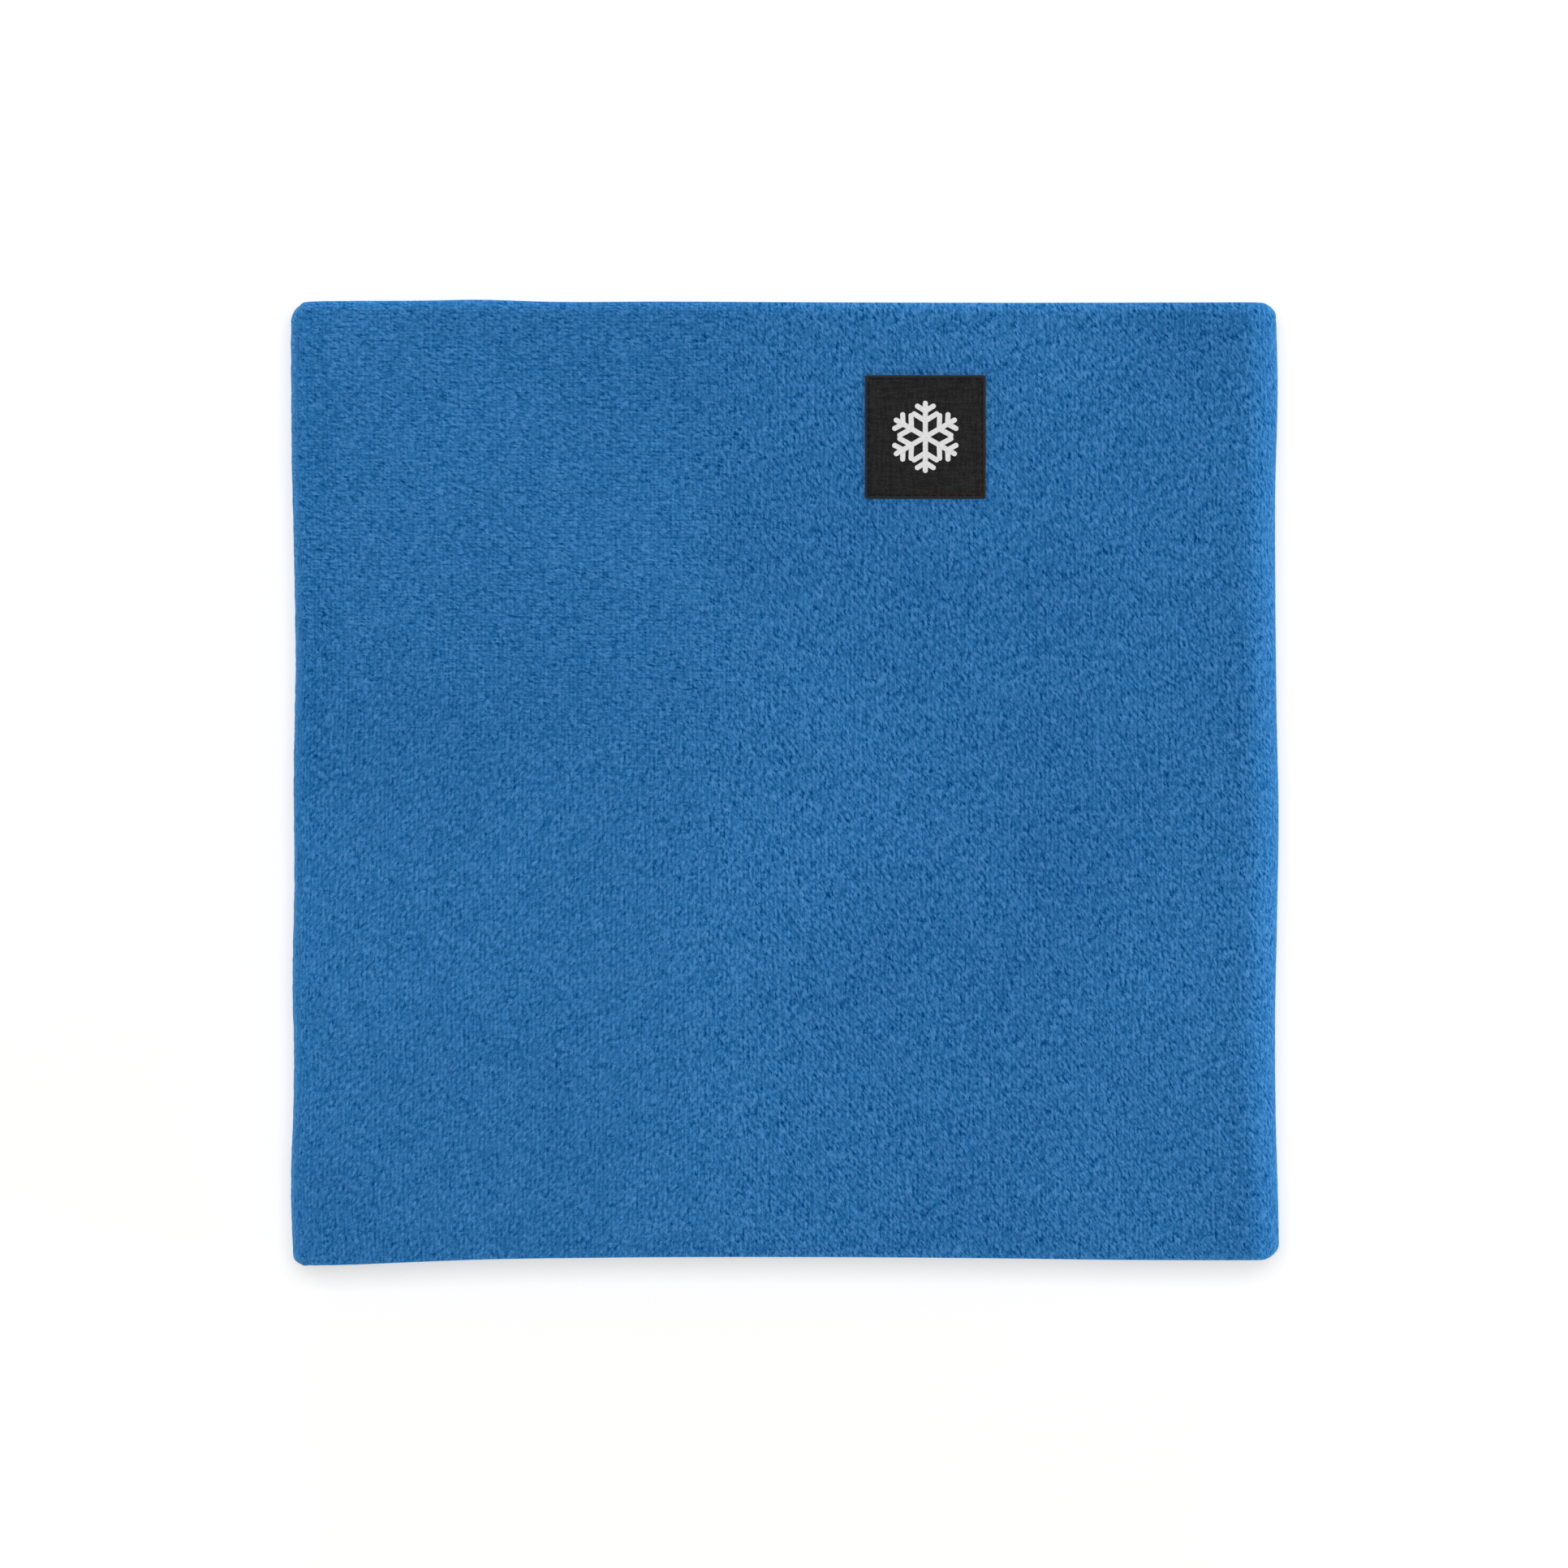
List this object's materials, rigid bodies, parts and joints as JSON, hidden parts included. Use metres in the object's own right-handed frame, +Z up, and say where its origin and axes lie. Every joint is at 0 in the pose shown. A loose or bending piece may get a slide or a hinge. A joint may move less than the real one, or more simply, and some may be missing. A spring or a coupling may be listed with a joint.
{
  "type": "neck gaiter",
  "caption": "Double-layer pile fleece neck tube lying flat, with rolled edges at collar and lower hem and a small square woven patch near the collar.",
  "frame": {"origin": "centre of the flat gaiter, on the surface that it lies on", "axes": "+X across the flat tube to the wearer's left as the patch side is seen from above with the collar up, +Y from the lower hem to the collar along the tube, +Z up through the front with the patch"},
  "size_m": [0.254, 0.248, 0.0192],
  "materials": {
    "fleece": "brushed pile",
    "seam_thread": "matte twisted thread",
    "patch": "fine plain weave",
    "patch_thread": "twisted thread",
    "print": "matte print",
    "satin": "satin tape",
    "satin_thread": "twisted thread"
  },
  "bodies": {
    "back": {"outer_back": "fleece", "lining_back": "fleece", "collar_seam_thread_back": "seam_thread", "hem_seam_thread_back": "seam_thread", "lining_side_seam_thread": "seam_thread", "care_label": "satin", "care_label_stitches": "satin_thread"},
    "front": {"outer_front": "fleece", "lining_front": "fleece", "collar_seam_thread_front": "seam_thread", "hem_seam_thread_front": "seam_thread", "outer_side_seam_thread": "seam_thread", "closing_stitches": "seam_thread", "label_patch": "patch", "patch_stitches": "patch_thread", "patch_print": "print"}
  },
  "joints": [
    {"name": "neck_opening", "type": "slide", "parent": "back", "child": "front", "axis": [0, 0, 1], "range_m": [0, 0.04]}
  ]
}
